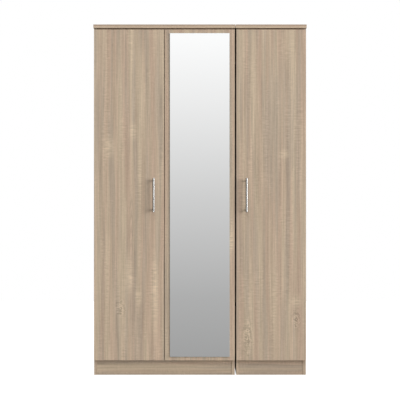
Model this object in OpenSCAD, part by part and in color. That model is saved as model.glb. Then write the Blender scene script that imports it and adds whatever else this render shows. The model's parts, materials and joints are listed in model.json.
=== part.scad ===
// Wardrobe made of two carcases that stand side by side: a two-door unit and a
// one-door unit. Millimetres, +Z up, the doors face -Y, and the origin lies on
// the floor under the middle of the whole object's box.

/* [Carcases] */
// Width of the two-door carcase over its sides
double_w = 733; // [600:1:1000]
// Width of the one-door carcase over its side panels
single_w = 363; // [300:1:500]
// Height of the side panels, floor to the underside of the tops
body_h = 1807; // [1450:1:2200]
// Depth of the side panels
side_depth = 504; // [400:1:620]
// Thickness of the sides, base, plinth, rails and hat shelf
panel_t = 15; // [15:0.5:19]
// Thickness of the tops
top_t = 18; // [15:0.5:25]
// How far each top stands out past its sides
top_overhang = 3; // [2:0.5:10]
// How far the tops stand out past the front of the doors
top_front = 5.5; // [0:0.5:20]
// Gap between the two tops
tops_gap = 2; // [1:0.5:6]
// Height of the plinth under the base
plinth_h = 75; // [60:1:120]
// How far the plinth lies behind the front edges of the sides
plinth_setback = 3; // [1:0.5:20]
// Height of the rails under the front and rear of each top
top_rail_h = 60; // [55:1:100]
// Thickness of the back boards
back_t = 3; // [3:0.5:6]
// Gap between the floor and the back boards
back_lift = 30; // [5:1:60]

/* [Doors] */
// Thickness of the doors
door_t = 15; // [15:0.5:19]
// Gap between the doors and the front edges of the sides
door_gap = 2.5; // [2.2:0.1:4]
// Gap between the two doors of the two-door carcase
doors_gap = 3; // [2:0.5:6]
// Gap between the plinth and the doors' bottom edges, seen in height
door_lift = 2; // [1:0.5:10]
// Gap between the doors' top edges and the tops
door_head_gap = 8; // [3:0.5:15]
// Radius along the doors' upright edges
door_edge_r = 1; // [0.5:0.1:2]
// How far the mirror's face stands out from its door
mirror_t = 6; // [3:0.5:8]
// Door left showing on each side of the mirror
mirror_side_gap = 27; // [5:1:80]
// Door left showing above and below the mirror
mirror_end_gap = 19; // [5:1:200]

/* [Handles] */
// Length of a handle bar
handle_len = 178; // [120:1:400]
// Diameter of a handle bar
handle_d = 12; // [12:0.5:16]
// Distance between the two posts of a handle
post_spacing = 152; // [96:1:320]
// Diameter of a handle post
post_d = 11; // [7:0.5:11]
// How far a handle stands out from its door
handle_reach = 35; // [30:0.5:50]
// Distance from a handle's middle to the door's free edge
handle_edge = 54; // [30:1:100]
// Height of the handles' middle above the floor
handle_z = 937; // [700:1:1200]

/* [Hanging space] */
// Height from the hat shelf's top face to the top of the sides
shelf_drop = 292; // [200:1:450]
// How far the hat shelf lies behind the front edges of the sides
shelf_setback = 20; // [18:1:80]
// Height from the hat shelf's underside to the hanging rail's middle
rail_drop = 60; // [45:1:120]
// Diameter of the hanging rails
rail_d = 25; // [20:0.5:30]
// Wall of the hanging rails
rail_wall = 1.2; // [0.8:0.1:2]

/* [Hinges] */
// Hinges on each door
hinge_count = 4; // [2:1:5]
// Distance from a door's ends to its first and last hinge
hinge_end = 100; // [70:1:200]
// Radius of the bore for a hinge cup
cup_r = 17.5; // [17:0.5:18]
// Depth of the bore for a hinge cup
cup_depth = 12; // [12:0.1:12.5]
// Wood left between a hinge cup and the door's upright edge
cup_tab = 3; // [3:0.1:3.5]

/* [Hidden] */
$fn = 48;

OAK = [0.70, 0.60, 0.50];
OAK_EDGE = [0.64, 0.55, 0.46];
BOARD = [0.78, 0.72, 0.64];
BEECH = [0.80, 0.64, 0.44];
STEEL = [0.74, 0.73, 0.71];
ZINC = [0.60, 0.61, 0.62];
MIRROR = [0.86, 0.89, 0.90];
PLASTIC = [0.90, 0.89, 0.86];

// Play around a piece that is pressed, screwed or slid into its hole
fit = 0.05;
// Play of a hinge pin in its arm
run = 0.06;
// Room left past the end of a thread, dowel, pin or screw
end_gap = 0.5;
// Overshoot of a cut past the face it starts from
eps = 1;

// Places along Y, from the back to the front, and the tops of the stacks
total_d = back_t + side_depth + door_gap + door_t + handle_reach;
back_y = total_d / 2;
rear_y = back_y - back_t;
front_y = rear_y - side_depth;
face_y = front_y - door_gap - door_t;
base_z = plinth_h;
shelf_z = body_h - shelf_drop - panel_t;
rail_z = shelf_z - rail_drop;
rail_y = (front_y + rear_y) / 2;
door_z = plinth_h + door_lift;
door_h = body_h - door_head_gap - door_z;

// Each carcase is the X of its left and right outer faces
total_w = double_w + single_w + 4 * top_overhang + tops_gap;
DOUBLE = [top_overhang - total_w / 2, top_overhang - total_w / 2 + double_w];
SINGLE = [total_w / 2 - top_overhang - single_w, total_w / 2 - top_overhang];
CARCASES = [DOUBLE, SINGLE];

// Each door is the X of the outer face it hinges beside, which way it runs
// from there, and its width
half_w = (double_w - doors_gap) / 2;
LEFT = [DOUBLE[0], 1, half_w];
MIRRORED = [DOUBLE[1], -1, half_w];
RIGHT = [SINGLE[1], -1, single_w];
DOORS = [LEFT, MIRRORED, RIGHT];

// Cam fittings: the cam's middle lies cam_in behind the joint
cam_r = 7.5;
cam_deep = 12.5;
cam_h = 12;
cam_in = 34;
cam_bolt_r = 2.5;
cam_neck_r = 3;
cam_head_r = 3.5;
cam_head_l = 4;
cam_channel_r = 4;
cam_recess = 0.2;
cam_slot_half = 4;
cam_slot_deep = 2;
cam_thread_l = 11;
cam_inset = 60;
dowel_r = 4;
dowel_in_side = 10;
dowel_in_panel = 20;
dowel_end_gap = 1;
dowel_step = 32;
rail_dowel_step = 17;

// Back boards, held in from the sides' outer faces, and their nails
back_inset = 1;
nail_r = 0.8;
nail_l = 20;
nail_head_r = 2.2;
nail_head_t = 0.8;
nail_step = 250;
nail_inset = 25;
rail_nail_z = body_h - 0.75 * top_rail_h;

// Hat shelf pins and the clearance at the shelf's ends
pin_hole_deep = 9;
shelf_pin_r = 2.5;
shelf_pin_out = 7;
shelf_play = 0.5;
shelf_pin_inset = 45;

// Sockets of the hanging rails
socket_plate_t = 2.5;
socket_ring_l = 12;
socket_ring_t = 2;
socket_screw_gap = 5;
socket_screw_step = rail_d / 2 + socket_ring_t + socket_screw_gap;
socket_end_r = 6.5;
rail_end_gap = 1;

// Wood screws
screw_r = 1.75;
screw_l = 11;
screw_head_r = 3.2;
screw_head_t = 1.4;
screw_slot = 0.8;
slot_reach = 0.6;

// Bolts that link the carcases, with a sleeve nut and a spacer ring
link_gap = SINGLE[0] - DOUBLE[1];
link_bolt_r = 3;
link_sleeve_r = 3.9;
link_head_r = 7;
link_head_t = 2;
link_sleeve_short = 2;
link_sleeve_l = panel_t + link_gap - link_sleeve_short;
link_bolt_short = 8;
link_bolt_l = 2 * panel_t + link_gap - link_bolt_short;
link_spacer_r = 9;
link_inset = 120;
link_low = 0.2;
link_high = 0.9;

// Holes for fixing the wardrobe to a wall
wall_hole_r = 3;
wall_hole_inset = 85;

// Door bumpers
bumper_r = 4;
bumper_t = 1.8;
bumper_inset = 24;

// Hinge, in the door's own plan: u runs inwards from the side's outer face,
// and v runs forwards from the side's front edge
cup_wall = 0.75;
cup_floor = 0.45;
cup_u = cup_tab + cup_r;
flange_t = 1;
flange_lip = 1.2;
cup_screw_in = 9.5;
cup_screw_u = cup_u + cup_screw_in;
cup_screw_z = 22.5;
cup_ear_r = 5.5;
pin_r = 1;
pin_u = 6.5;
pin_in_door = 9;
pin_v = door_gap + pin_in_door;
pin_half = 8.5;
eye_r = 1.9;
eye_half = 4;
block_gap = 0.5;
block_h = 4.6;
block_u = 9;
plate_t = 3;
plate_half = 5;
plate_v = [-58, -8];
wing_t = 2;
wing_v = -37;
wing_z = 16;
wing_r = 6;
arm_t = 1.6;
arm_half = 6.5;
arm_u = panel_t + plate_t;
arm_back = -55;
lip_t = 1.2;
lip_gap = 0.2;
lip_v = -6;
arm_screw_r = 2;
arm_screw_v = -20;
arm_screw_short = 0.2;

// Handles
handle_screw_r = 2;
handle_screw_in = 12;
handle_screw_play = 0.25;
handle_head_r = 4;
handle_head_t = 2.2;
bar_y = face_y - handle_reach + handle_d / 2;

// ---- places -------------------------------------------------------------

// X of the inner face of the side at end s of carcase c, s being -1 or 1
function inner_x(c, s) = s < 0 ? c[0] + panel_t : c[1] - panel_t;

// Middle of the side's thickness
function side_mid_x(c, s) = s < 0 ? c[0] + panel_t / 2 : c[1] - panel_t / 2;

// Places of cam fittings along Y
CAM_YS = [front_y + cam_inset, rear_y - cam_inset];

// A fitting is [place, outer turn, inner turn, dowel offsets]. Its own frame
// has the joint at x = 0, the cam's panel on +X and the cam's mouth facing -Z.
function end_turn(s) = [0, 0, s < 0 ? 0 : 180];

function base_fittings(c, s) = [for (y = CAM_YS)
    [[inner_x(c, s), y, base_z + panel_t / 2], [0, 0, 0], end_turn(s), [-s * dowel_step]]];

function board_fitting(c, s, y, z, turn) =
    [[inner_x(c, s), y, z], [turn, 0, 0], end_turn(s), [-rail_dowel_step, rail_dowel_step]];

function plinth_fittings(c, s) =
    [board_fitting(c, s, front_y + plinth_setback + panel_t / 2, plinth_h / 2, 90)];

function front_rail_fittings(c, s) =
    [board_fitting(c, s, front_y + panel_t / 2, body_h - top_rail_h / 2, 90)];

function rear_rail_fittings(c, s) =
    [board_fitting(c, s, rear_y - panel_t / 2, body_h - top_rail_h / 2, -90)];

function top_fittings(c, s) = [for (y = CAM_YS)
    [[side_mid_x(c, s), y, body_h], [0, 90, 0], [s < 0 ? 180 : 0, 0, 0], [s * dowel_step]]];

// Fittings whose bolts are screwed into the side panel
function side_fittings(c, s) = concat(base_fittings(c, s), plinth_fittings(c, s),
    front_rail_fittings(c, s), rear_rail_fittings(c, s));

function all_fittings() = [for (c = CARCASES, s = [-1, 1])
    each concat(side_fittings(c, s), top_fittings(c, s))];

// Nail places [x, z] through a back board: up the sides, and along the base
// and the rear rail, between the wall holes
function nail_zs() = let(low = back_lift + nail_inset, high = body_h - nail_inset,
    n = ceil((high - low) / nail_step)) [for (i = [0:n]) low + i * (high - low) / n];

function side_nails(c, s) = [for (z = nail_zs()) [side_mid_x(c, s), z]];

function board_nails(c, z) = let(w = c[1] - c[0], n = ceil(w / nail_step))
    [for (i = [1:n]) [c[0] + (i - 0.5) * w / n, z]];

function back_nails(c) = concat(side_nails(c, -1), side_nails(c, 1),
    board_nails(c, base_z + panel_t / 2), board_nails(c, rail_nail_z));

function wall_holes(c) = [for (x = [c[0] + wall_hole_inset, c[1] - wall_hole_inset])
    [x, body_h - top_rail_h / 2]];

function shelf_pin_places(c, s) = [for (y = [front_y + shelf_pin_inset, rear_y - shelf_pin_inset])
    [inner_x(c, s), y, shelf_z - shelf_pin_r]];

function link_places() = [for (y = [front_y + link_inset, rear_y - link_inset],
    z = [body_h * link_low, body_h * link_high]) [y, z]];

function hinge_zs() = [for (i = [0:hinge_count - 1])
    door_z + hinge_end + i * (door_h - 2 * hinge_end) / (hinge_count - 1)];

// X at a distance from the door's free edge
function free_x(d, inset) = d[0] + d[1] * (d[2] - inset);

// ---- shared shapes ------------------------------------------------------

// A box from one corner to the other
module box(low, high) {
    translate(low) cube(high - low);
}

// A rectangle from the origin with rounded corners
module rounded_rect(w, h, r) {
    translate([r, 0]) square([w - 2 * r, h]);
    translate([0, r]) square([w, h - 2 * r]);
    for (x = [r, w - r], y = [r, h - r]) translate([x, y]) circle(r);
}

// A cylinder along +X, +Y or -Y from its own origin
module rod_x(r, l) {
    rotate([0, 90, 0]) cylinder(r = r, h = l);
}

module rod_y(r, l) {
    rotate([-90, 0, 0]) cylinder(r = r, h = l);
}

// A wood screw along +X from under its head, which lies on -X
module screw_x(l) {
    difference() {
        union() {
            translate([-screw_head_t, 0, 0]) rod_x(screw_head_r, screw_head_t);
            rod_x(screw_r, l);
        }
        cross_slot(screw_head_t, screw_head_r);
    }
}

// A cross recess in a head that ends at x = -head
module cross_slot(head, r) {
    for (turn = [0, 90]) rotate([turn, 0, 0])
        box([-head - eps, -r * slot_reach, -screw_slot / 2], [-head / 2, r * slot_reach, screw_slot / 2]);
}

// Puts children into a fitting's frame
module at_fitting(f) {
    translate(f[0]) rotate(f[1]) rotate(f[2]) children();
}

// Hole for the cam and its bolt, and for the dowels, in the cam's panel
module cam_cut(f, t) {
    at_fitting(f) {
        translate([cam_in, 0, -t / 2 - eps]) cylinder(r = cam_r, h = cam_deep + eps);
        translate([-eps, 0, 0]) rod_x(cam_channel_r, cam_in + 2 * eps);
        for (y = f[3]) translate([-eps, y, 0])
            rod_x(dowel_r + fit, dowel_in_panel + dowel_end_gap + eps);
    }
}

// Hole for the bolt's thread and the dowels, in the panel that it joins
module bolt_cut(f) {
    at_fitting(f) {
        translate([-cam_thread_l - end_gap, 0, 0])
            rod_x(cam_bolt_r + fit, cam_thread_l + end_gap + eps);
        for (y = f[3]) translate([-dowel_in_side - end_gap, y, 0])
            rod_x(dowel_r + fit, dowel_in_side + end_gap + eps);
    }
}

// Puts children at each hinge of door d, in u, v and height
module at_hinges(d) {
    for (z = hinge_zs()) in_door(d, z) children();
}

module in_door(d, z) {
    translate([d[0], front_y, z]) rotate([0, 0, 180]) mirror([d[1] > 0 ? 1 : 0, 0, 0]) children();
}

// ---- carcase panels -----------------------------------------------------

// The side at end s of carcase c, with the door d that hinges on it, or []
module side(c, s, d) {
    x = s < 0 ? c[0] : c[1] - panel_t;
    linked = (c == DOUBLE && s > 0) || (c == SINGLE && s < 0);
    color(OAK) difference() {
        box([x, front_y, 0], [x + panel_t, rear_y, body_h]);
        for (f = side_fittings(c, s)) bolt_cut(f);
        for (f = top_fittings(c, s)) cam_cut(f, panel_t);
        for (p = shelf_pin_places(c, s)) translate(p) rotate([0, 0, end_turn(s)[2]])
            translate([-pin_hole_deep, 0, 0]) rod_x(shelf_pin_r + fit, pin_hole_deep + eps);
        for (p = side_nails(c, s)) nail_hole(p, nail_l);
        for (z = [-1, 1]) socket_frame(c, s) translate([-screw_l, 0, z * socket_screw_step])
            rod_x(screw_r + fit, screw_l + eps);
        if (len(d) > 0) at_hinges(d) for (z = [-1, 1])
            translate([panel_t - screw_l, wing_v, z * wing_z]) rod_x(screw_r + fit, screw_l + eps);
        if (linked) for (p = link_places()) translate([x - eps, p[0], p[1]])
            rod_x(link_sleeve_r + fit, panel_t + 2 * eps);
    }
}

module top_board(c) {
    color(OAK) difference() {
        translate([c[0] - top_overhang, face_y - top_front, body_h]) linear_extrude(top_t)
            rounded_rect(c[1] - c[0] + 2 * top_overhang, back_y - face_y + top_front, door_edge_r);
        for (s = [-1, 1], f = top_fittings(c, s)) bolt_cut(f);
    }
}

module base_board(c) {
    color(OAK) difference() {
        box([inner_x(c, -1), front_y, base_z], [inner_x(c, 1), rear_y, base_z + panel_t]);
        for (s = [-1, 1], f = base_fittings(c, s)) cam_cut(f, panel_t);
        for (p = board_nails(c, base_z + panel_t / 2)) nail_hole(p, nail_l);
    }
}

module plinth(c) {
    y = front_y + plinth_setback;
    color(OAK_EDGE) difference() {
        box([inner_x(c, -1), y, 0], [inner_x(c, 1), y + panel_t, plinth_h]);
        for (s = [-1, 1], f = plinth_fittings(c, s)) cam_cut(f, panel_t);
    }
}

module front_rail(c) {
    color(OAK_EDGE) difference() {
        box([inner_x(c, -1), front_y, body_h - top_rail_h],
            [inner_x(c, 1), front_y + panel_t, body_h]);
        for (s = [-1, 1], f = front_rail_fittings(c, s)) cam_cut(f, panel_t);
    }
}

module rear_rail(c) {
    color(OAK_EDGE) difference() {
        box([inner_x(c, -1), rear_y - panel_t, body_h - top_rail_h],
            [inner_x(c, 1), rear_y, body_h]);
        for (s = [-1, 1], f = rear_rail_fittings(c, s)) cam_cut(f, panel_t);
        for (p = board_nails(c, rail_nail_z)) nail_hole(p, panel_t + back_t + eps);
        wall_hole_cuts(c);
    }
}

module back_board(c) {
    color(BOARD) difference() {
        box([c[0] + back_inset, rear_y, back_lift], [c[1] - back_inset, back_y, body_h]);
        for (p = back_nails(c)) {
            nail_hole(p, nail_l);
            translate([p[0], back_y - nail_head_t, p[1]]) rod_y(nail_head_r + fit, nail_head_t + eps);
        }
        wall_hole_cuts(c);
    }
}

module wall_hole_cuts(c) {
    for (p = wall_holes(c)) translate([p[0], rear_y - panel_t - eps, p[1]])
        rod_y(wall_hole_r, panel_t + back_t + 2 * eps);
}

module hat_shelf(c) {
    color(OAK) box([inner_x(c, -1) + shelf_play, front_y + shelf_setback, shelf_z],
        [inner_x(c, 1) - shelf_play, rear_y, shelf_z + panel_t]);
}

module hanging_rail(c) {
    x = inner_x(c, -1) + socket_plate_t + rail_end_gap;
    l = inner_x(c, 1) - inner_x(c, -1) - 2 * (socket_plate_t + rail_end_gap);
    color(STEEL) translate([x, rail_y, rail_z]) difference() {
        rod_x(rail_d / 2, l);
        translate([-eps, 0, 0]) rod_x(rail_d / 2 - rail_wall, l + 2 * eps);
    }
}

// ---- carcase fittings ---------------------------------------------------

module cam_locks() {
    color(ZINC) for (f = all_fittings()) at_fitting(f) difference() {
        translate([cam_in, 0, -panel_t / 2 + cam_recess]) cylinder(r = cam_r - fit, h = cam_h);
        translate([cam_in - cam_head_l, 0, 0]) rotate([0, -90, 0])
            cylinder(r = cam_channel_r, h = cam_r);
        translate([cam_in - cam_head_l - eps, 0, 0]) rod_x(cam_channel_r, cam_head_l + 2 * eps);
        for (turn = [0, 90]) translate([cam_in, 0, -panel_t / 2]) rotate([0, 0, turn])
            box([-cam_slot_half, -screw_slot, -eps], [cam_slot_half, screw_slot, cam_slot_deep]);
    }
}

module cam_bolts() {
    neck = cam_in - cam_head_l;
    color(ZINC) for (f = all_fittings()) at_fitting(f) {
        translate([-cam_thread_l, 0, 0]) rod_x(cam_bolt_r, cam_thread_l + eps);
        rod_x(cam_neck_r, neck + eps);
        translate([neck, 0, 0]) rod_x(cam_head_r, cam_head_l);
    }
}

module wood_dowels() {
    color(BEECH) for (f = all_fittings()) at_fitting(f)
        for (y = f[3]) translate([-dowel_in_side, y, 0]) rod_x(dowel_r, dowel_in_side + dowel_in_panel);
}

module nail_hole(p, l) {
    translate([p[0], back_y - l - eps, p[1]]) rod_y(nail_r + fit, l + 2 * eps);
}

module back_board_nails() {
    color(ZINC) for (c = CARCASES, p = back_nails(c)) {
        translate([p[0], back_y - nail_l, p[1]]) rod_y(nail_r, nail_l);
        translate([p[0], back_y - nail_head_t, p[1]]) rod_y(nail_head_r, nail_head_t);
    }
}

module shelf_pins() {
    color(ZINC) for (c = CARCASES, s = [-1, 1], p = shelf_pin_places(c, s))
        translate(p) rotate([0, 0, end_turn(s)[2]]) translate([-pin_hole_deep + end_gap, 0, 0])
            rod_x(shelf_pin_r, pin_hole_deep - end_gap + shelf_pin_out);
}

// Frame of a rail socket: +X leaves the side's inner face on the rail's axis
module socket_frame(c, s) {
    translate([inner_x(c, s), rail_y, rail_z]) rotate([0, 0, end_turn(s)[2]]) children();
}

module rail_sockets() {
    color(STEEL) for (c = CARCASES, s = [-1, 1]) socket_frame(c, s) difference() {
        union() {
            rod_x(rail_d / 2 + socket_ring_t, socket_plate_t + socket_ring_l);
            for (z = [-1, 1]) translate([0, 0, z * socket_screw_step])
                rod_x(socket_end_r, socket_plate_t);
            box([0, -socket_end_r, -socket_screw_step], [socket_plate_t, socket_end_r, socket_screw_step]);
        }
        translate([socket_plate_t, 0, 0]) rod_x(rail_d / 2 + fit, socket_ring_l + eps);
        for (z = [-1, 1]) translate([-eps, 0, z * socket_screw_step])
            rod_x(screw_r + fit, socket_plate_t + 2 * eps);
    }
}

module rail_socket_screws() {
    color(ZINC) for (c = CARCASES, s = [-1, 1], z = [-1, 1]) socket_frame(c, s)
        translate([socket_plate_t, 0, z * socket_screw_step]) rotate([0, 0, 180])
            screw_x(socket_plate_t + screw_l - end_gap);
}

// ---- links between the carcases ----------------------------------------

// Frame of a link: +X starts at the inner face of the two-door carcase's side
module link_frame(p) {
    translate([inner_x(DOUBLE, 1), p[0], p[1]]) children();
}

module link_sleeves() {
    color(ZINC) for (p = link_places()) link_frame(p) difference() {
        union() {
            translate([-link_head_t, 0, 0]) rod_x(link_head_r, link_head_t);
            rod_x(link_sleeve_r, link_sleeve_l);
        }
        rod_x(link_bolt_r + fit, link_sleeve_l + eps);
        cross_slot(link_head_t, link_head_r);
    }
}

module link_bolts() {
    end_x = 2 * panel_t + link_gap;
    color(ZINC) for (p = link_places()) link_frame(p) translate([end_x, 0, 0])
        rotate([0, 0, 180]) difference() {
            union() {
                translate([-link_head_t, 0, 0]) rod_x(link_head_r, link_head_t);
                rod_x(link_bolt_r, link_bolt_l);
            }
            cross_slot(link_head_t, link_head_r);
        }
}

module link_spacers() {
    color(PLASTIC) for (p = link_places()) link_frame(p) translate([panel_t, 0, 0]) difference() {
        rod_x(link_spacer_r, link_gap);
        translate([-eps, 0, 0]) rod_x(link_sleeve_r + fit, link_gap + 2 * eps);
    }
}

// Two bumpers behind each door's free edge, on the base and on the front rail
module door_bumpers() {
    color(PLASTIC) for (d = DOORS, z = [base_z + panel_t / 2, body_h - top_rail_h / 2])
        translate([free_x(d, bumper_inset), front_y - bumper_t, z]) rod_y(bumper_r, bumper_t);
}

// ---- doors --------------------------------------------------------------

module door(d, handled) {
    color(OAK) difference() {
        in_door(d, door_z) translate([0, door_gap, 0]) linear_extrude(door_h)
            rounded_rect(d[2], door_t, door_edge_r);
        at_hinges(d) {
            translate([cup_u, door_gap - eps, 0]) rod_y(cup_r, cup_depth + eps);
            for (z = [-1, 1]) translate([cup_screw_u, door_gap - eps, z * cup_screw_z])
                rod_y(screw_r + fit, screw_l + eps);
        }
        if (handled) for (p = post_places(d)) translate([p[0], face_y - eps, p[1]])
            rod_y(handle_screw_r + handle_screw_play, door_t + 2 * eps);
    }
}

module hinge_cups(d) {
    r = cup_r - fit;
    color(ZINC) at_hinges(d) difference() {
        union() {
            translate([cup_u, door_gap, 0]) difference() {
                rod_y(r, cup_depth - fit);
                translate([0, -eps, 0]) rod_y(r - cup_wall, cup_depth - fit - cup_floor + eps);
            }
            translate([0, door_gap - flange_t, 0]) cup_flange();
            intersection() {
                translate([cup_u, door_gap, 0]) rod_y(r, cup_depth - fit);
                for (z = [-1, 1]) scale([1, 1, z]) box([0, pin_v - eye_r, eye_half + block_gap],
                    [block_u, door_gap + cup_depth - fit, eye_half + block_gap + block_h]);
            }
        }
        for (z = [-1, 1]) translate([cup_screw_u, 0, z * cup_screw_z]) rod_y(screw_r + fit, door_gap + eps);
        translate([pin_u, pin_v, -pin_half]) cylinder(r = pin_r, h = 2 * pin_half);
    }
}

// The plate around a cup's mouth, cut off in line with the cup beside the edge
module cup_flange() {
    rotate([-90, 0, 0]) linear_extrude(flange_t) difference() {
        union() {
            translate([cup_u, 0]) circle(cup_r + flange_lip);
            for (z = [-1, 1]) translate([cup_screw_u, z * cup_screw_z]) circle(cup_ear_r);
            translate([cup_screw_u - cup_ear_r, -cup_screw_z]) square([2 * cup_ear_r, 2 * cup_screw_z]);
        }
        translate([cup_tab - cup_r, -2 * cup_r]) square([cup_r, 4 * cup_r]);
        translate([cup_u, 0]) circle(cup_r - fit - cup_wall);
    }
}

module hinge_pins(d) {
    color(STEEL) at_hinges(d) translate([pin_u, pin_v, -pin_half]) cylinder(r = pin_r, h = 2 * pin_half);
}

module cup_screws(d) {
    color(ZINC) at_hinges(d) for (z = [-1, 1])
        translate([cup_screw_u, door_gap - flange_t, z * cup_screw_z]) rotate([0, 0, 90])
            screw_x(flange_t + screw_l - end_gap);
}

// The arm turns on the pin inside the cup, comes out over the side's inner
// face and lies on its plate
module hinge_arms(d) {
    color(ZINC) at_hinges(d) difference() {
        union() {
            translate([pin_u, pin_v, -eye_half]) cylinder(r = eye_r, h = 2 * eye_half);
            box([pin_u, pin_v - arm_t / 2, -eye_half], [arm_u + arm_t, pin_v + arm_t / 2, eye_half]);
            box([arm_u, arm_back, -arm_half], [arm_u + arm_t, pin_v + arm_t / 2, arm_half]);
            for (z = [-arm_half, arm_half - lip_t])
                box([panel_t + wing_t + lip_gap, arm_back, z], [arm_u + arm_t, lip_v, z + lip_t]);
        }
        translate([pin_u, pin_v, -eye_half - eps]) cylinder(r = pin_r + run, h = 2 * (eye_half + eps));
        translate([arm_u - eps, arm_screw_v, 0]) rod_x(arm_screw_r + fit, arm_t + 2 * eps);
    }
}

module hinge_plates(d) {
    color(STEEL) at_hinges(d) difference() {
        union() {
            box([panel_t, plate_v[0], -plate_half], [panel_t + plate_t, plate_v[1], plate_half]);
            for (z = [-1, 1]) translate([panel_t, wing_v, z * wing_z]) rod_x(wing_r, wing_t);
            box([panel_t, wing_v - wing_r, -wing_z], [panel_t + wing_t, wing_v + wing_r, wing_z]);
        }
        for (z = [-1, 1]) translate([panel_t - eps, wing_v, z * wing_z])
            rod_x(screw_r + fit, wing_t + 2 * eps);
        translate([panel_t - eps, arm_screw_v, 0]) rod_x(arm_screw_r + fit, plate_t + 2 * eps);
    }
}

module hinge_plate_screws() {
    color(ZINC) for (d = DOORS) at_hinges(d) for (z = [-1, 1])
        translate([panel_t + wing_t, wing_v, z * wing_z]) rotate([0, 0, 180])
            screw_x(wing_t + screw_l - end_gap);
}

module hinge_arm_screws() {
    color(ZINC) for (d = DOORS) at_hinges(d)
        translate([arm_u + arm_t, arm_screw_v, 0]) rotate([0, 0, 180]) difference() {
            union() {
                translate([-screw_head_t, 0, 0]) rod_x(screw_head_r, screw_head_t);
                rod_x(arm_screw_r, arm_t + plate_t - arm_screw_short);
            }
            cross_slot(screw_head_t, screw_head_r);
        }
}

module mirror_glass() {
    d = MIRRORED;
    color(MIRROR) in_door(d, door_z) box([mirror_side_gap, door_gap + door_t, mirror_end_gap],
        [d[2] - mirror_side_gap, door_gap + door_t + mirror_t, door_h - mirror_end_gap]);
}

// ---- handles ------------------------------------------------------------

function post_places(d) = [for (z = [-1, 1]) [free_x(d, handle_edge), handle_z + z * post_spacing / 2]];

module handle_bar(d) {
    color(STEEL) translate([free_x(d, handle_edge), bar_y, handle_z - handle_len / 2])
        cylinder(d = handle_d, h = handle_len);
}

// The posts are hollowed at the front to sit against the round bar
module handle_posts(d) {
    color(STEEL) for (p = post_places(d)) difference() {
        translate([p[0], bar_y, p[1]]) rod_y(post_d / 2, face_y - bar_y);
        translate([p[0], bar_y, handle_z - handle_len / 2 - eps])
            cylinder(d = handle_d, h = handle_len + 2 * eps);
        translate([p[0], face_y - handle_screw_in - eps, p[1]])
            rod_y(handle_screw_r + fit, handle_screw_in + 2 * eps);
    }
}

module handle_screws(d) {
    back = face_y + door_t;
    color(ZINC) for (p = post_places(d)) translate([p[0], back, p[1]]) rotate([0, 0, -90]) difference() {
        union() {
            translate([-handle_head_t, 0, 0]) rod_x(handle_head_r, handle_head_t);
            rod_x(handle_screw_r, door_t + handle_screw_in);
        }
        cross_slot(handle_head_t, handle_head_r);
    }
}

// ---- nodes --------------------------------------------------------------

module double_left_side() { side(DOUBLE, -1, LEFT); }
module double_right_side() { side(DOUBLE, 1, MIRRORED); }
module single_left_side() { side(SINGLE, -1, []); }
module single_right_side() { side(SINGLE, 1, RIGHT); }

double_left_side();
double_right_side();
top_board(DOUBLE);  // double_top
base_board(DOUBLE);  // double_base
plinth(DOUBLE);  // double_plinth
front_rail(DOUBLE);  // double_front_rail
rear_rail(DOUBLE);  // double_rear_rail
back_board(DOUBLE);  // double_back_board
hat_shelf(DOUBLE);  // double_hat_shelf
hanging_rail(DOUBLE);  // double_hanging_rail
single_left_side();
single_right_side();
top_board(SINGLE);  // single_top
base_board(SINGLE);  // single_base
plinth(SINGLE);  // single_plinth
front_rail(SINGLE);  // single_front_rail
rear_rail(SINGLE);  // single_rear_rail
back_board(SINGLE);  // single_back_board
hat_shelf(SINGLE);  // single_hat_shelf
hanging_rail(SINGLE);  // single_hanging_rail
cam_locks();
cam_bolts();
wood_dowels();
back_board_nails();
shelf_pins();
rail_sockets();
rail_socket_screws();
link_bolts();
link_sleeves();
link_spacers();
door_bumpers();
hinge_plate_screws();
hinge_arm_screws();
hinge_plates(LEFT);  // left_hinge_plates
hinge_arms(LEFT);  // left_hinge_arms
door(LEFT, true);  // left_door
hinge_cups(LEFT);  // left_hinge_cups
hinge_pins(LEFT);  // left_hinge_pins
cup_screws(LEFT);  // left_cup_screws
hinge_plates(MIRRORED);  // mirror_hinge_plates
hinge_arms(MIRRORED);  // mirror_hinge_arms
door(MIRRORED, false);  // mirror_door
hinge_cups(MIRRORED);  // mirror_hinge_cups
hinge_pins(MIRRORED);  // mirror_hinge_pins
cup_screws(MIRRORED);  // mirror_cup_screws
mirror_glass();
hinge_plates(RIGHT);  // right_hinge_plates
hinge_arms(RIGHT);  // right_hinge_arms
door(RIGHT, true);  // right_door
hinge_cups(RIGHT);  // right_hinge_cups
hinge_pins(RIGHT);  // right_hinge_pins
cup_screws(RIGHT);  // right_cup_screws
handle_bar(LEFT);  // left_handle_bar
handle_posts(LEFT);  // left_handle_posts
handle_screws(LEFT);  // left_handle_screws
handle_bar(RIGHT);  // right_handle_bar
handle_posts(RIGHT);  // right_handle_posts
handle_screws(RIGHT);  // right_handle_screws
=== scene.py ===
"""A wardrobe of two joined carcases, with three doors, a tall mirror, bar handles, shelves and rails."""
import json
import math

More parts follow.
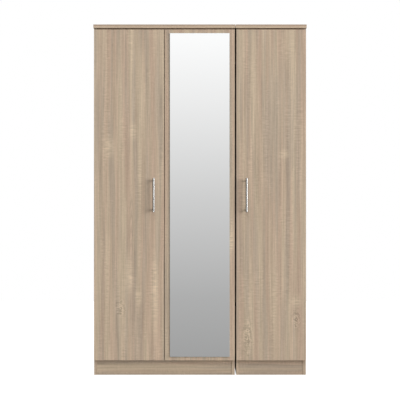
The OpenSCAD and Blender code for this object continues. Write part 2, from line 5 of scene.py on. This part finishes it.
import bmesh
import bpy
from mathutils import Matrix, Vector


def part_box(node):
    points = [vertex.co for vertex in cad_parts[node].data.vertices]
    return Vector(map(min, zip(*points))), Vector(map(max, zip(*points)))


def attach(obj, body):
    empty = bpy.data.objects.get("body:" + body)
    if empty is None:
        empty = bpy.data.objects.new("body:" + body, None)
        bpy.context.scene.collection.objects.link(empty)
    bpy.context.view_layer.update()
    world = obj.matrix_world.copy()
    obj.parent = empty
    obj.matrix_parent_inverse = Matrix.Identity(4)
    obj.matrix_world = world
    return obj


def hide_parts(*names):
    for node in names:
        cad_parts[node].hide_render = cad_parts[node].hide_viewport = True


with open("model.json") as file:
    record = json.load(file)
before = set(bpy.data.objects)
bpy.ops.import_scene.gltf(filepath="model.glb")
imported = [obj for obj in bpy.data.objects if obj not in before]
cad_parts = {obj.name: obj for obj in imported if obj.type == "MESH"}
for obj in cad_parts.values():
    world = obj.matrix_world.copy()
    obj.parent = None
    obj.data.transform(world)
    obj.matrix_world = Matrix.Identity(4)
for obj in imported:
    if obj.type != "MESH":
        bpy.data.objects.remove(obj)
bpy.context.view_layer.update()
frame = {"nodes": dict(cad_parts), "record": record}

MM = 0.001
SLOTS = {row["node"]: row["material_slot"] for row in frame["record"]["subparts"]}
BODIES = {n: body for body, names in frame["record"]["behaviour"]["bodies"].items() for n in names}

# ---- studio -------------------------------------------------------------

VIEW_WIDTH = 2.082        # width of the picture at the doors' faces
CAMERA_AWAY = 10.0        # from the doors' faces to the camera
CAMERA_HEIGHT = 0.9117
SENSOR = 36.0
SIGHT = 60.0              # how far the camera sees
FLOOR_SIZE = 14.0
FLOOR_GREY = 0.45         # how much light the floor throws back on the object
FLOOR_GLOW = 0.88         # keeps the floor white in the picture
FILL_LOW = 0.06           # brightness of the room on the object, from below
FILL_HIGH = 0.34          # and from above
# What shines sees this grey, 0 to 255, at each rise of its line of sight: -1 straight down, 1 straight up
REFLECTED = [(-1.0, 240), (-0.50, 222), (-0.25, 184), (-0.0946, 155), (-0.080, 162), (-0.0507, 175),
             (0.0, 206), (0.0507, 237), (0.0843, 253), (0.0946, 255)]
DARK_SIDES = 0.20         # how much of that is left at the room's far sides
SIDES_FROM = 0.70         # where it starts to fade: 0 straight ahead, 1 straight to the side
SIDES_TO = 0.90           # and where it has faded
# Each light: degrees to the right of the front, degrees above level, distance, width and height, power
LIGHTS = {
    "key light": (52.0, 10.0, 28.0, (17.0, 12.0), 5150),
    "top light": (0.0, 50.0, 12.0, (8.0, 6.0), 500),
    "back light": (205.0, 25.0, 12.0, (8.0, 6.0), 620),
}


def rgb(red, green, blue):
    """A colour picked on screen, 0 to 255, as the linear colour that a shader takes."""
    def linear(value):
        value /= 255
        return value / 12.92 if value <= 0.04045 else ((value + 0.055) / 1.055) ** 2.4
    return (linear(red), linear(green), linear(blue), 1.0)


def place_camera():
    face_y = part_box("left_door")[0].y
    data = bpy.data.cameras.new("camera")
    data.sensor_width = SENSOR
    data.lens = SENSOR * CAMERA_AWAY / VIEW_WIDTH
    data.clip_end = SIGHT
    camera = bpy.data.objects.new("camera", data)
    camera.location = (0, face_y - CAMERA_AWAY, CAMERA_HEIGHT)
    camera.rotation_euler = (math.radians(90), 0, 0)
    bpy.context.scene.collection.objects.link(camera)
    bpy.context.scene.camera = camera


def hang_light(name, turn, rise, away, size, power):
    """A large soft light that faces the doors' middle."""
    turn, rise = math.radians(turn), math.radians(rise)
    middle = Vector((0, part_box("left_door")[0].y, CAMERA_HEIGHT))
    towards = Vector((math.sin(turn) * math.cos(rise), -math.cos(turn) * math.cos(rise), math.sin(rise)))
    data = bpy.data.lights.new(name, "AREA")
    data.shape = "RECTANGLE"
    data.size, data.size_y = size
    data.energy = power
    lamp = bpy.data.objects.new(name, data)
    lamp.location = middle + towards * away
    lamp.rotation_euler = (middle - lamp.location).to_track_quat("-Z", "Y").to_euler()
    bpy.context.scene.collection.objects.link(lamp)


def light_the_room():
    """White walls all round. What shines sees them fade from white above to grey below the horizon."""
    world = bpy.data.worlds.new("white room")
    bpy.context.scene.world = world
    world.use_nodes = True
    nodes, links = world.node_tree.nodes, world.node_tree.links
    nodes.clear()

    def spread(value, low, high, to_low, to_high):
        node = nodes.new("ShaderNodeMapRange")
        for name, number in (("From Min", low), ("From Max", high), ("To Min", to_low), ("To Max", to_high)):
            node.inputs[name].default_value = number
        links.new(value, node.inputs["Value"])
        return node.outputs[0]

    def calculate(operation, first, second=None):
        node = nodes.new("ShaderNodeMath")
        node.operation = operation
        links.new(first, node.inputs[0])
        if isinstance(second, bpy.types.NodeSocket):
            links.new(second, node.inputs[1])
        elif second is not None:
            node.inputs[1].default_value = second
        return node.outputs[0]

    def choose(factor, first, second):
        node = nodes.new("ShaderNodeMix")
        node.data_type = "RGBA"
        links.new(factor, node.inputs["Factor"])
        links.new(first, node.inputs["A"])
        if isinstance(second, bpy.types.NodeSocket):
            links.new(second, node.inputs["B"])
        else:
            node.inputs["B"].default_value = second
        return node.outputs["Result"]

    split = nodes.new("ShaderNodeSeparateXYZ")
    links.new(nodes.new("ShaderNodeTexCoord").outputs["Generated"], split.inputs[0])
    rise = split.outputs["Z"]
    greys = [(height, rgb(level, level, level)[0]) for height, level in REFLECTED]
    shine = greys[0][1]
    for (low, dark), (high, light) in zip(greys, greys[1:]):
        shine = calculate("ADD", spread(rise, low, high, 0.0, light - dark), shine)
    sideways = calculate("ABSOLUTE", split.outputs["X"])
    shine = calculate("MULTIPLY", shine, spread(sideways, SIDES_FROM, SIDES_TO, 1.0, DARK_SIDES))
    fill = spread(rise, -1.0, 1.0, FILL_LOW, FILL_HIGH)
    rays = nodes.new("ShaderNodeLightPath")
    walls = choose(rays.outputs["Is Glossy Ray"], fill, shine)
    seen = choose(rays.outputs["Is Camera Ray"], walls, (1, 1, 1, 1))
    background = nodes.new("ShaderNodeBackground")
    links.new(seen, background.inputs["Color"])
    out = nodes.new("ShaderNodeOutputWorld")
    links.new(background.outputs[0], out.inputs["Surface"])


def lay_floor():
    bm = bmesh.new()
    bmesh.ops.create_grid(bm, x_segments=1, y_segments=1, size=FLOOR_SIZE / 2)
    mesh = bpy.data.meshes.new("floor")
    bm.to_mesh(mesh)
    bm.free()
    floor = bpy.data.objects.new("floor", mesh)
    bpy.context.scene.collection.objects.link(floor)
    floor.visible_glossy = False
    paint = Finish("white floor", roughness=0.9)
    paint.shader.inputs["Base Color"].default_value = (FLOOR_GREY, FLOOR_GREY, FLOOR_GREY, 1)
    paint.shader.inputs["Specular IOR Level"].default_value = 0.0
    rays = paint.add("LightPath")
    glow = paint.math("MULTIPLY", rays.outputs["Is Camera Ray"], FLOOR_GLOW)
    paint.shader.inputs["Emission Color"].default_value = (1, 1, 1, 1)
    paint.link(glow, paint.shader.inputs["Emission Strength"])
    mesh.materials.append(paint.material)


# ---- finishes -----------------------------------------------------------

class Finish:
    """A material with its shader, and short ways to add and join nodes."""

    def __init__(self, name, roughness=0.5, metallic=0.0, color=(0.8, 0.8, 0.8, 1)):
        self.material = bpy.data.materials.new(name)
        self.material.use_nodes = True
        self.tree = self.material.node_tree
        self.tree.nodes.clear()
        self.shader = self.add("BsdfPrincipled")
        self.shader.inputs["Roughness"].default_value = roughness
        self.shader.inputs["Metallic"].default_value = metallic
        self.shader.inputs["Base Color"].default_value = color
        out = self.add("OutputMaterial")
        self.link(self.shader.outputs[0], out.inputs["Surface"])
        self.material.diffuse_color = color

    def add(self, kind, **settings):
        node = self.tree.nodes.new("ShaderNode" + kind)
        for name, value in settings.items():
            setattr(node, name, value)
        return node

    def link(self, output, socket):
        self.tree.links.new(output, socket)

    def put(self, socket, value):
        """Joins value to the socket if it is an output, and otherwise sets it."""
        if isinstance(value, bpy.types.NodeSocket):
            self.link(value, socket)
        else:
            socket.default_value = value

    def set(self, name, value):
        self.put(self.shader.inputs[name], value)

    def math(self, operation, first, second=0.0, third=0.0, clamp=False):
        node = self.add("Math", operation=operation, use_clamp=clamp)
        for socket, value in zip(node.inputs, (first, second, third)):
            self.put(socket, value)
        return node.outputs[0]

    def scaled_sum(self, first, factor, second):
        return self.math("MULTIPLY_ADD", first, factor, second)

    def place(self):
        return self.vector(*self.axes())

    def axes(self):
        """The X, Y and Z of Object coordinates."""
        split = self.add("SeparateXYZ")
        self.link(self.add("TexCoord").outputs["Object"], split.inputs[0])
        return split.outputs

    def vector(self, x=0.0, y=0.0, z=0.0):
        node = self.add("CombineXYZ")
        for socket, value in zip(node.inputs, (x, y, z)):
            self.put(socket, value)
        return node.outputs[0]

    def noise(self, place, scale=1.0, detail=2.0, roughness=0.5, distortion=0.0):
        node = self.add("TexNoise")
        for name, value in (("Vector", place), ("Scale", scale), ("Detail", detail),
                            ("Roughness", roughness), ("Distortion", distortion)):
            self.put(node.inputs[name], value)
        return node.outputs["Fac"]

    def stretch(self, value, low, high, to_low=0.0, to_high=1.0, smooth=True):
        """Spreads the range from low to high over to_low to to_high, and holds it there."""
        node = self.add("MapRange", interpolation_type="SMOOTHSTEP" if smooth else "LINEAR")
        for name, number in (("Value", value), ("From Min", low), ("From Max", high),
                             ("To Min", to_low), ("To Max", to_high)):
            self.put(node.inputs[name], number)
        return node.outputs[0]

    def mix(self, factor, first, second, blend="MIX"):
        node = self.add("Mix", data_type="RGBA", blend_type=blend)
        for name, value in (("Factor", factor), ("A", first), ("B", second)):
            self.put([s for s in node.inputs if s.name == name and s.enabled][0], value)
        return [s for s in node.outputs if s.enabled][0]

    def shade(self, color, amount):
        """Multiplies a colour by a number that varies around 1."""
        grey = self.add("CombineColor")
        for socket in grey.inputs:
            self.put(socket, amount)
        return self.mix(1.0, color, grey.outputs[0], "MULTIPLY")

    def bump(self, height, distance, strength=1.0):
        node = self.add("Bump")
        node.inputs["Distance"].default_value = distance
        node.inputs["Strength"].default_value = strength
        self.link(height, node.inputs["Height"])
        self.set("Normal", node.outputs[0])


# Tones of the oak: its strips run from one to the next
OAK_TAN = rgb(196, 177, 152)
OAK_PINK = rgb(190, 166, 144)
OAK_GREY = rgb(176, 160, 142)

# Layers of the grain: (fineness across, fineness along, shift, detail, roughness)
LAYERS = {
    "wander": (9, 1.3, 0, 1, 0.5),         # slow drift of the whole grain
    "strips": (30, 0.9, 0, 2, 0.5),        # tan and pink strips
    "greys": (34, 1.2, 5, 2, 0.5),         # grey strips over them
    "flecks": (60, 105, 6, 2, 0.5),        # short marks
    "broad": (40, 0.6, 11, 3, 0.6),        # light and dark strips
    "lines": (135, 2.4, 3, 3, 0.65),       # lines of grain
    "fine": (520, 6, 8, 4, 0.7),           # fibres
    "pores": (1300, 26, 7, 1, 0.5),        # dark hairline pores
    "ripples": (26, 125, 2, 1.5, 0.5),     # saw marks across the grain
    "patches": (24, 3.4, 9, 2, 0.5),       # where the saw marks show
}
WANDER = 0.012            # how far the grain drifts sideways
# How far apart a layer's light and dark lie, around a middle brightness
CONTRAST = {"broad": 0.46, "lines": 0.72, "fine": 0.36, "flecks": 0.18}
MIDDLE = 1.01
PORE_DEPTH = 0.20
SAW_CONTRAST = 0.085
PATCH_GLOW = 0.04         # how much paler the wood is where saw marks show
MARK_GLOW = 0.05          # and in the places that SAWN gives
PALE_GLOW = 0.065         # and in the strips that PALE gives
EDGE_BAND_BRIGHTNESS = (1.10, 0.88)     # an edging's brightness below and above the height where it changes: paler low, darker high

# Where the doors' oak has knots: (across, height, half width, half height)
KNOTS = [(-0.651, 0.345, 0.026, 0.045), (0.262, 0.292, 0.024, 0.050), (0.008, 0.200, 0.026, 0.090)]
# Tops of arches of grain: (across, height)
ARCHES = [(-0.597, 0.915), (0.012, 0.330)]
# Pale strips that run up the doors: (across, half width)
PALE = [(-0.777, 0.020), (-0.594, 0.012), (-0.464, 0.014), (0.241, 0.014)]
# Where saw marks show most on the doors: (across, height, half width, half height)
SAWN = [(-0.474, 0.405, 0.024, 0.260), (-0.557, 0.410, 0.020, 0.060), (-0.712, 1.188, 0.034, 0.066),
        (-0.584, 1.270, 0.026, 0.055), (-0.610, 0.520, 0.024, 0.120), (0.260, 0.384, 0.036, 0.040),
        (0.200, 1.150, 0.030, 0.030), (0.010, 0.200, 0.034, 0.130), (-0.075, 0.700, 0.016, 0.070)]


def oak(name, grain, tone=1.0, figured=False, edge_bands=None, gloss=0.35):
    """Oak foil. grain is z on upright boards and x on level ones.

    Figured foil has knots, arches and pale strips. Two heights can be given for an edging: the foil is then
    paler below the first and darker above the second, in flat bands of brightness by height.
    """
    wood = Finish(name, roughness=0.5)
    x, y, z = wood.axes()
    if grain == "z":
        across = wood.math("ADD", x, y)
        along = z
    else:
        across = wood.math("ADD", y, z)
        along = x

    def layer(name):
        fine, long, shift, detail, roughness = LAYERS[name]
        place = wood.vector(wood.scaled_sum(across, fine, shift), wood.math("MULTIPLY", along, long))
        return wood.noise(place, detail=detail, roughness=roughness)

    across = wood.scaled_sum(layer("wander"), WANDER, across)
    strips = wood.stretch(layer("strips"), 0.36, 0.64)
    greys = wood.stretch(layer("greys"), 0.44, 0.66, 0.0, 0.7)
    color = wood.mix(strips, OAK_TAN, OAK_PINK)
    color = wood.mix(greys, color, OAK_GREY)
    values = {name: layer(name) for name in CONTRAST}
    flecks, fine = values["flecks"], values["fine"]
    marks = 0.0
    if figured:
        for patch in SAWN:
            marks = wood.math("MAXIMUM", marks, patch_spread(wood, across, along, patch, flecks))
        color = wood.mix(wood.math("MULTIPLY", marks, 0.7), color, OAK_TAN)

    pores = wood.stretch(layer("pores"), 0.62, 0.72)
    ripples = wood.stretch(layer("ripples"), 0.30, 0.70, -1.0, 1.0)
    patches = wood.stretch(layer("patches"), 0.47, 0.66)
    patches = wood.scaled_sum(marks, 1.2, patches)
    sawn = wood.math("MULTIPLY", ripples, patches)

    light = MIDDLE - sum(CONTRAST.values()) / 2
    for name, contrast in CONTRAST.items():
        light = wood.scaled_sum(values[name], contrast, light)
    for value, factor in ((pores, -PORE_DEPTH), (sawn, SAW_CONTRAST),
                          (patches, PATCH_GLOW), (marks, MARK_GLOW)):
        light = wood.scaled_sum(value, factor, light)
    if figured:
        for knot in KNOTS:
            light = wood.math("SUBTRACT", light, knot_shade(wood, across, along, knot, flecks))
        for arch in ARCHES:
            light = wood.math("SUBTRACT", light, arch_shade(wood, across, along, arch, fine))
        for middle, half in PALE:
            side = wood.math("ABSOLUTE", wood.math("SUBTRACT", across, middle))
            light = wood.math("ADD", light, wood.stretch(side, half, 0.6 * half, 0.0, PALE_GLOW))
    # the edging is made paler in a band low down and darker in a band above it, flat bands of brightness by
    # height
    if edge_bands:
        tone = wood.stretch(z, edge_bands[0], edge_bands[1], *EDGE_BAND_BRIGHTNESS)
    wood.set("Base Color", wood.shade(color, wood.math("MULTIPLY", light, tone)))
    wood.set("Roughness", wood.stretch(fine, 0.3, 0.7, 0.42, 0.56))
    wood.shader.inputs["Specular IOR Level"].default_value = gloss
    relief = wood.math("SUBTRACT", wood.scaled_sum(fine, 0.5, wood.math("MULTIPLY", sawn, 0.25)), pores)
    wood.bump(relief, 0.12 * MM, 0.5)
    return wood.material


def reach_from(wood, across, along, place):
    """0 in the middle of a place, 1 on the ellipse that its half width and half height give."""
    middle, height, half_width, half_height = place
    side = wood.math("MULTIPLY", wood.math("SUBTRACT", across, middle), 1 / half_width)
    rise = wood.math("MULTIPLY", wood.math("SUBTRACT", along, height), 1 / half_height)
    squares = wood.math("ADD", wood.math("MULTIPLY", side, side), wood.math("MULTIPLY", rise, rise))
    return wood.math("SQRT", squares)


def patch_spread(wood, across, along, patch, flecks):
    """1 in the middle of a patch, fading to 0 at its ragged rim."""
    return wood.stretch(wood.scaled_sum(flecks, 0.6, reach_from(wood, across, along, patch)), 1.55, 0.55)


KNOT_TURNS = 8.0          # how closely a knot's rings lie
KNOT_TWIST = (80.0, 60.0)  # how much they slant across and along the grain
RING_DEPTH = 0.22
SMEAR_DEPTH = 0.07
SMEAR_LENGTH = 2.2        # length of the smear, in knots


def knot_shade(wood, across, along, knot, flecks):
    """Darkness of a small knot: a whorl of rings in a smear that runs along the grain."""
    middle, height, half_width, half_height = knot
    long_place = (middle, height, half_width, SMEAR_LENGTH * half_height)
    smear = wood.stretch(reach_from(wood, across, along, long_place), 1.1, 0.1)
    near = wood.math("SUBTRACT", reach_from(wood, across, along, knot), 0.7)
    near = wood.scaled_sum(flecks, 1.4, near)
    twist = wood.scaled_sum(across, KNOT_TWIST[0], wood.math("MULTIPLY", along, KNOT_TWIST[1]))
    rings = wood.math("SINE", wood.scaled_sum(near, KNOT_TURNS, twist))
    core = wood.stretch(near, 1.5, 0.2)
    whorl = wood.math("MULTIPLY", core, wood.math("MULTIPLY", rings, RING_DEPTH))
    return wood.scaled_sum(smear, SMEAR_DEPTH, whorl)


ARCH_HALF_WIDTH = 0.014   # where an arch has dropped by ARCH_DROP from its tip
ARCH_DROP = 0.11
ARCH_PITCH = 0.075        # from one line of an arch to the next
ARCH_LENGTH = 0.42        # where an arch has faded away below its tip
ARCH_LINES = 0.08
ARCH_BODY = 0.06


def arch_shade(wood, across, along, arch, fine):
    """Darkness of an arch of grain: lines that rise to a point and spread down both sides."""
    side = wood.math("SUBTRACT", across, arch[0])
    drop = wood.math("SUBTRACT", arch[1], along)
    spread = wood.math("POWER", wood.math("MULTIPLY", side, 1 / ARCH_HALF_WIDTH), 2.0)
    level = wood.math("SUBTRACT", drop, wood.math("MULTIPLY", spread, ARCH_DROP))
    level = wood.scaled_sum(fine, 0.03, level)
    lines = wood.math("SINE", wood.math("MULTIPLY", level, 2 * math.pi / ARCH_PITCH))
    inside = wood.math("MULTIPLY", wood.stretch(level, -0.02, 0.03), wood.stretch(drop, ARCH_LENGTH, 0.15))
    return wood.math("MULTIPLY", inside, wood.scaled_sum(lines, ARCH_LINES, ARCH_BODY))


def chipboard():
    """The raw edge of a board: pressed chips, light in the middle."""
    raw = Finish("raw chipboard", roughness=0.85)
    place = raw.place()
    chips = raw.noise(place, scale=420, detail=4, roughness=0.75)
    flakes = raw.noise(place, scale=150, detail=2, distortion=1.5)
    color = raw.mix(raw.stretch(chips, 0.35, 0.65), rgb(196, 170, 128), rgb(148, 117, 80))
    color = raw.mix(raw.stretch(flakes, 0.55, 0.7, 0, 0.5), color, rgb(214, 196, 160))
    raw.set("Base Color", color)
    raw.bump(chips, 0.4 * MM, 0.7)
    return raw.material


def raw_hardboard():
    """The back board's bare rear face: brown pressed fibre."""
    raw = Finish("bare hardboard", roughness=0.8)
    place = raw.place()
    cloud = raw.noise(place, scale=9, detail=4, roughness=0.6)
    fibre = raw.noise(place, scale=900, detail=3, roughness=0.7)
    color = raw.mix(raw.stretch(cloud, 0.35, 0.65), rgb(150, 118, 84), rgb(136, 104, 72))
    color = raw.shade(color, raw.scaled_sum(fibre, 0.35, 0.82))
    raw.set("Base Color", color)
    raw.bump(fibre, 0.2 * MM, 0.6)
    return raw.material


def silvering():
    """The mirror's face."""
    return Finish("silvered glass", roughness=0.0, metallic=1.0, color=(0.985, 0.99, 0.99, 1)).material


def glass_edge():
    """The mirror's ground and polished edge: pale, with a cold tint from the glass."""
    edge = Finish("polished glass edge", roughness=0.18)
    drift = edge.noise(edge.place(), scale=30, detail=2)
    edge.set("Base Color", edge.mix(drift, rgb(166, 182, 184), rgb(196, 208, 210)))
    edge.shader.inputs["Coat Weight"].default_value = 0.6
    edge.shader.inputs["Coat Roughness"].default_value = 0.05
    return edge.material


def mirror_back():
    """Grey protective paint on the mirror's back."""
    paint = Finish("mirror backing paint", roughness=0.6)
    grain = paint.noise(paint.place(), scale=700, detail=2)
    paint.set("Base Color", paint.mix(grain, rgb(96, 98, 100), rgb(120, 122, 124)))
    return paint.material


def metal(name, dark, light, roughness, brush=(260, 260, 260), relief=0.010 * MM, vary=0.2):
    """Metal with soft clouding and fine lines. brush gives how fine the lines are along X, Y and Z."""
    steel = Finish(name, roughness=roughness, metallic=1.0)
    fine = [steel.math("MULTIPLY", axis, scale) for axis, scale in zip(steel.axes(), brush)]
    lines = steel.noise(steel.vector(*fine), detail=3, roughness=0.6)
    cloud = steel.noise(steel.place(), scale=55, detail=3)
    color = steel.mix(steel.stretch(lines, 0.3, 0.7), dark, light)
    steel.set("Base Color", steel.shade(color, steel.scaled_sum(cloud, 0.16, 0.92)))
    low, high = roughness * (1 - vary), roughness * (1 + vary)
    steel.set("Roughness", steel.stretch(lines, 0.25, 0.75, low, high))
    steel.bump(lines, relief, 0.2)
    return steel.material


def beech():
    wood = Finish("beech dowel", roughness=0.6)
    fibres = [wood.math("MULTIPLY", axis, scale) for axis, scale in zip(wood.axes(), (60, 900, 900))]
    grain = wood.noise(wood.vector(*fibres), detail=3)
    wood.set("Base Color", wood.mix(grain, rgb(206, 168, 120), rgb(180, 138, 92)))
    return wood.material


def plastic(name, low, high, roughness):
    part = Finish(name, roughness=roughness)
    speckle = part.noise(part.place(), scale=800, detail=2)
    part.set("Base Color", part.mix(speckle, low, high))
    part.set("Roughness", part.stretch(speckle, 0.3, 0.7, roughness * 0.85, roughness * 1.15))
    part.bump(speckle, 0.03 * MM, 0.5)
    return part.material


EDGE_BAND_CHANGE = (11 * MM, 7 * MM)   # how far below the tops' upper faces their edging goes from pale to grey


def make_finishes():
    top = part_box("double_top")[1].z
    return {
        "oak_upright": oak("upright oak foil", "z", figured=True),
        "oak_level": oak("level oak foil", "x", gloss=0.10),
        "edge_upright": oak("upright oak edging", "z", tone=0.97),
        "edge_level": oak("level oak edging", "x", tone=1.03),
        "top_edging": oak("top edging", "x", edge_bands=[top - below for below in EDGE_BAND_CHANGE]),
        # the plinth's foil is made a tenth darker: painted shade for its recess under the doors
        "plinth": oak("plinth oak foil with painted shade", "x", tone=0.90),
        "chipboard": chipboard(),
        "back_print": oak("printed back board", "z", tone=1.06),
        "hardboard": raw_hardboard(),
        "silvering": silvering(),
        "glass_edge": glass_edge(),
        "mirror_back": mirror_back(),
        "brushed_steel": metal("brushed steel", rgb(164, 163, 161), rgb(176, 175, 172), 0.21,
                               brush=(60, 60, 2200), relief=0.001 * MM, vary=0.35),
        "chrome": metal("chrome tube", rgb(214, 215, 217), rgb(232, 233, 234), 0.09),
        "nickel": metal("nickel plate", rgb(176, 172, 164), rgb(206, 202, 194), 0.24),
        "zinc": metal("zinc plate", rgb(150, 152, 156), rgb(190, 192, 196), 0.34),
        "dowel_wood": beech(),
        "clear_plastic": plastic("clear soft plastic", rgb(222, 222, 216), rgb(236, 236, 230), 0.25),
        "grey_plastic": plastic("grey plastic", rgb(62, 62, 64), rgb(74, 74, 76), 0.55),
    }


# ---- pieces -------------------------------------------------------------

MERGE = 0.002 * MM        # corners closer than this are one corner
FLAT = math.radians(0.5)  # faces that turn less than this are one face
SHARP = math.radians(40)  # edges that turn more than this are sharp
ON_FACE = 0.01 * MM       # a corner this close to a board's box lies on it
BOARD_EDGE = 0.5 * MM     # how far the edges are rounded over
TOP_EDGE = 1.2 * MM
DOOR_EDGE = 1.0 * MM
MIRROR_ARRIS = 0.8 * MM
AXES = {"x": 0, "y": 1, "z": 2}
# How far each fitting's edges are rounded over, in millimetres
DOOR_FITTINGS = {
    "hinge_arms": 0.25, "hinge_plates": 0.3, "hinge_cups": 0.12, "hinge_pins": 0.1, "cup_screws": 0.15,
}
HANDLE_FITTINGS = {"handle_posts": 0.3, "handle_screws": 0.2}
HANDLE_BAR_EDGE = 0.9
FITTINGS = {
    "double_hanging_rail": 0.25, "single_hanging_rail": 0.25, "rail_sockets": 0.4,
    "rail_socket_screws": 0.15, "cam_locks": 0.12, "cam_bolts": 0.2, "wood_dowels": 0.5,
    "back_board_nails": 0.2, "shelf_pins": 0.4, "link_bolts": 0.3, "link_sleeves": 0.3,
    "link_spacers": 0.4, "door_bumpers": 0.5, "hinge_plate_screws": 0.15, "hinge_arm_screws": 0.15,
}


def solid_copy(node):
    """The node's shape as a closed mesh of flat faces, ready to have its edges eased."""
    bm = bmesh.new()
    bm.from_mesh(frame["nodes"][node].data)
    bmesh.ops.remove_doubles(bm, verts=bm.verts, dist=MERGE)
    bmesh.ops.dissolve_limit(bm, angle_limit=FLAT, verts=bm.verts, edges=bm.edges)
    return bm


def sharp_edges(bm):
    return [e for e in bm.edges if len(e.link_faces) == 2 and e.calc_face_angle(0.0) > SHARP]


def ease(bm, edges, width, segments=3):
    """Rounds the edges over by width."""
    bmesh.ops.bevel(bm, geom=edges, offset=width, offset_type="OFFSET", affect="EDGES", segments=segments,
                    profile=0.5, material=-1, clamp_overlap=True)


def piece(name, bm, node, *finishes):
    """Makes the mesh a piece of the object that stands for a node."""
    for face in bm.faces:
        face.smooth = True
    for edge in sharp_edges(bm):
        edge.smooth = False
    mesh = bpy.data.meshes.new(name)
    bm.to_mesh(mesh)
    bm.free()
    for finish in finishes:
        mesh.materials.append(FINISHES[finish])
    made = bpy.data.objects.new(name, mesh)
    bpy.context.scene.collection.objects.link(made)
    flats = made.modifiers.new("flats stay flat", "WEIGHTED_NORMAL")
    flats.mode = "FACE_AREA"
    flats.keep_sharp = True
    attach(made, BODIES[node])
    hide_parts(node)


def outer_edges(bm, low, high):
    """Edges along the outer edges of a board's box, without the rims of its holes."""
    def sides(vert):
        return {(axis, end) for axis in range(3) for end, corner in ((0, low), (1, high))
                if abs(vert.co[axis] - corner[axis]) < ON_FACE}
    found = []
    for edge in bm.edges:
        shared = sides(edge.verts[0]) & sides(edge.verts[1])
        if len({axis for axis, end in shared}) >= 2:
            found.append(edge)
    return found


def board(node, grain, across, edged, width=BOARD_EDGE, face=None, edge=None):
    """A foil-covered board. across is the axis through its thickness. edged names the sides with edging."""
    low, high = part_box(node)
    bm = solid_copy(node)
    ease(bm, outer_edges(bm, low, high), width)
    normal = AXES[across]
    middle, half = (low + high) / 2, (high - low) / 2
    for f in bm.faces:
        if abs(f.normal[normal]) > 0.99:
            f.material_index = 0
            continue
        centre = f.calc_center_median() - middle
        reach = [abs(centre[i]) / half[i] if i != normal else -1 for i in range(3)]
        axis = reach.index(max(reach))
        side = ("-" if centre[axis] < 0 else "+") + "xyz"[axis]
        f.material_index = 1 if side in edged else 2
    lie = "upright" if grain == "z" else "level"
    piece(node + "_board", bm, node, face or "oak_" + lie, edge or "edge_" + lie, "chipboard")


def make_boards():
    for unit in ("double", "single"):
        board(unit + "_left_side", "z", "x", ("-y",))
        board(unit + "_right_side", "z", "x", ("-y",))
        board(unit + "_top", "x", "z", ("-y", "-x", "+x"), width=TOP_EDGE, edge="top_edging")
        board(unit + "_base", "x", "z", ("-y",))
        board(unit + "_hat_shelf", "x", "z", ("-y",))
        board(unit + "_plinth", "x", "y", ("+z", "-z"), face="plinth")
        board(unit + "_front_rail", "x", "y", ("-z",))
        board(unit + "_rear_rail", "x", "y", ("-z",))
        back_board(unit + "_back_board")
    for door in ("left", "mirror", "right"):
        board(door + "_door", "z", "y", ("-x", "+x", "-z", "+z"), width=DOOR_EDGE)


def back_board(node):
    """The thin back board: printed inside, bare behind."""
    bm = solid_copy(node)
    for f in bm.faces:
        f.material_index = 0 if f.normal.y < -0.9 else 1
    piece(node + "_panel", bm, node, "back_print", "hardboard")


def mirror():
    """The mirror with its edges ground to a narrow arris and polished."""
    low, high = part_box("mirror_glass")
    bm = solid_copy("mirror_glass")
    ease(bm, outer_edges(bm, low, high), MIRROR_ARRIS, segments=1)
    for f in bm.faces:
        f.material_index = 0 if f.normal.y < -0.99 else 2 if f.normal.y > 0.99 else 1
    piece("mirror_glass_plate", bm, "mirror_glass", "silvering", "glass_edge", "mirror_back")


def eased(node, width, segments=2):
    """A fitting as it is in the frame, with its edges eased by width in millimetres."""
    bm = solid_copy(node)
    ease(bm, sharp_edges(bm), width * MM, segments)
    piece(node + "_piece", bm, node, SLOTS[node])


def make_fittings():
    for door in ("left", "mirror", "right"):
        for part, width in DOOR_FITTINGS.items():
            eased(f"{door}_{part}", width)
    for node, width in FITTINGS.items():
        eased(node, width)
    for door in ("left", "right"):
        eased(door + "_handle_bar", HANDLE_BAR_EDGE, segments=3)
        for part, width in HANDLE_FITTINGS.items():
            eased(f"{door}_{part}", width)


# ---- the whole scene ----------------------------------------------------

scene = bpy.context.scene
scene.view_settings.view_transform = "Standard"
scene.view_settings.look = "None"
place_camera()
light_the_room()
lay_floor()
for name, settings in LIGHTS.items():
    hang_light(name, *settings)
FINISHES = make_finishes()
make_boards()
mirror()
make_fittings()
